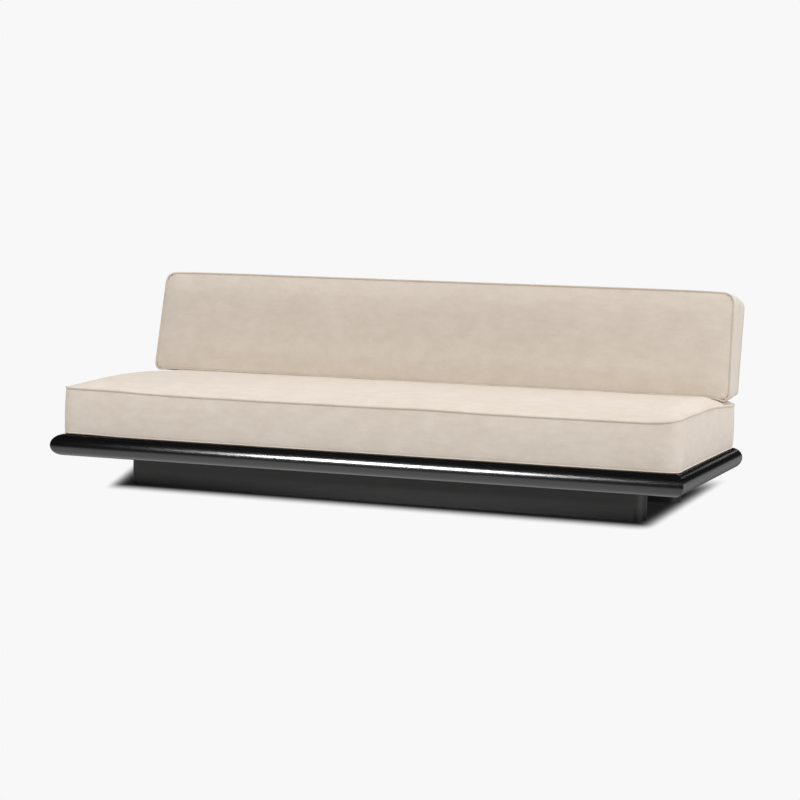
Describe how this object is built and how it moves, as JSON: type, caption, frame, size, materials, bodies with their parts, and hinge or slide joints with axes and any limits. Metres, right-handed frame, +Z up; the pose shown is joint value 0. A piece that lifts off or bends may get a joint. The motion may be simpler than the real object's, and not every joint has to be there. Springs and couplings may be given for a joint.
{
  "type": "three-seater sofa",
  "caption": "Low armless platform sofa: a long seat cushion and a leaning back cushion on a black platform with a half-round edge and a recessed plinth.",
  "frame": {"origin": "middle of the footprint box, on the floor", "axes": "+X along the sofa, to the right of someone who looks at its front; +Y from the front to the rear; +Z up"},
  "size_m": [2.4, 1.0764, 0.8029],
  "materials": {
    "black_lacquer": "satin black lacquer",
    "pine": "planed, uncoated",
    "birch_plywood": "sanded, uncoated",
    "black_nylon": "matte",
    "zinc_steel": "zinc plated",
    "black_coated_steel": "black powder coat",
    "oatmeal_velvet": "brushed pile",
    "foam": "open-cell foam",
    "zip_tape": "woven tape with nylon coils",
    "zip_slider_metal": "dull nickel"
  },
  "bodies": {
    "base": {"front_rail": "black_lacquer", "rear_rail": "black_lacquer", "left_rail": "black_lacquer", "right_rail": "black_lacquer", "plinth_front": "black_lacquer", "plinth_rear": "black_lacquer", "plinth_left": "black_lacquer", "plinth_right": "black_lacquer", "plinth_post_front_left": "black_lacquer", "plinth_post_front_right": "black_lacquer", "plinth_post_rear_left": "black_lacquer", "plinth_post_rear_right": "black_lacquer", "mitre_spline_front_left": "pine", "mitre_spline_front_right": "pine", "mitre_spline_rear_left": "pine", "mitre_spline_rear_right": "pine", "cross_rail_left": "pine", "cross_rail_mid_left": "pine", "cross_rail_mid_right": "pine", "cross_rail_right": "pine", "plinth_brace_left": "pine", "plinth_brace_right": "pine", "deck_panel_left": "birch_plywood", "deck_panel_middle": "birch_plywood", "deck_panel_right": "birch_plywood", "glide_front_left": "black_nylon", "glide_front_right": "black_nylon", "glide_rear_left": "black_nylon", "glide_rear_right": "black_nylon", "glide_brace_left": "black_nylon", "glide_brace_right": "black_nylon", "plinth_screw_front_left": "zinc_steel", "plinth_screw_front_right": "zinc_steel", "plinth_screw_rear_left": "zinc_steel", "plinth_screw_rear_right": "zinc_steel", "back_bracket_1": "black_coated_steel", "back_bracket_2": "black_coated_steel", "back_bracket_3": "black_coated_steel", "bracket_screw_1a": "zinc_steel", "bracket_screw_1b": "zinc_steel", "bracket_screw_2a": "zinc_steel", "bracket_screw_2b": "zinc_steel", "bracket_screw_3a": "zinc_steel", "bracket_screw_3b": "zinc_steel"},
    "seat": {"seat_cover": "oatmeal_velvet", "seat_core": "foam", "seat_piping_top": "oatmeal_velvet", "seat_piping_bottom": "oatmeal_velvet", "seat_zip": "zip_tape"},
    "back": {"back_cover": "oatmeal_velvet", "back_core": "foam", "back_piping_front": "oatmeal_velvet", "back_piping_rear": "oatmeal_velvet", "back_zip": "zip_tape"},
    "seat_slider": {"seat_zip_slider": "zip_slider_metal"},
    "back_slider": {"back_zip_slider": "zip_slider_metal"}
  },
  "joints": [
    {"name": "seat_slide", "type": "slide", "parent": "base", "child": "seat", "axis": [0, -1, 0], "range_m": [0, 0.45]},
    {"name": "back_lift", "type": "slide", "parent": "base", "child": "back", "axis": [0, 0.1994, 0.9799], "range_m": [0, 0.25]},
    {"name": "seat_zip_run", "type": "slide", "parent": "seat", "child": "seat_slider", "axis": [-1, 0, 0], "range_m": [0, 1.591]},
    {"name": "back_zip_run", "type": "slide", "parent": "back", "child": "back_slider", "axis": [-1, 0, 0], "range_m": [0, 1.591]}
  ]
}
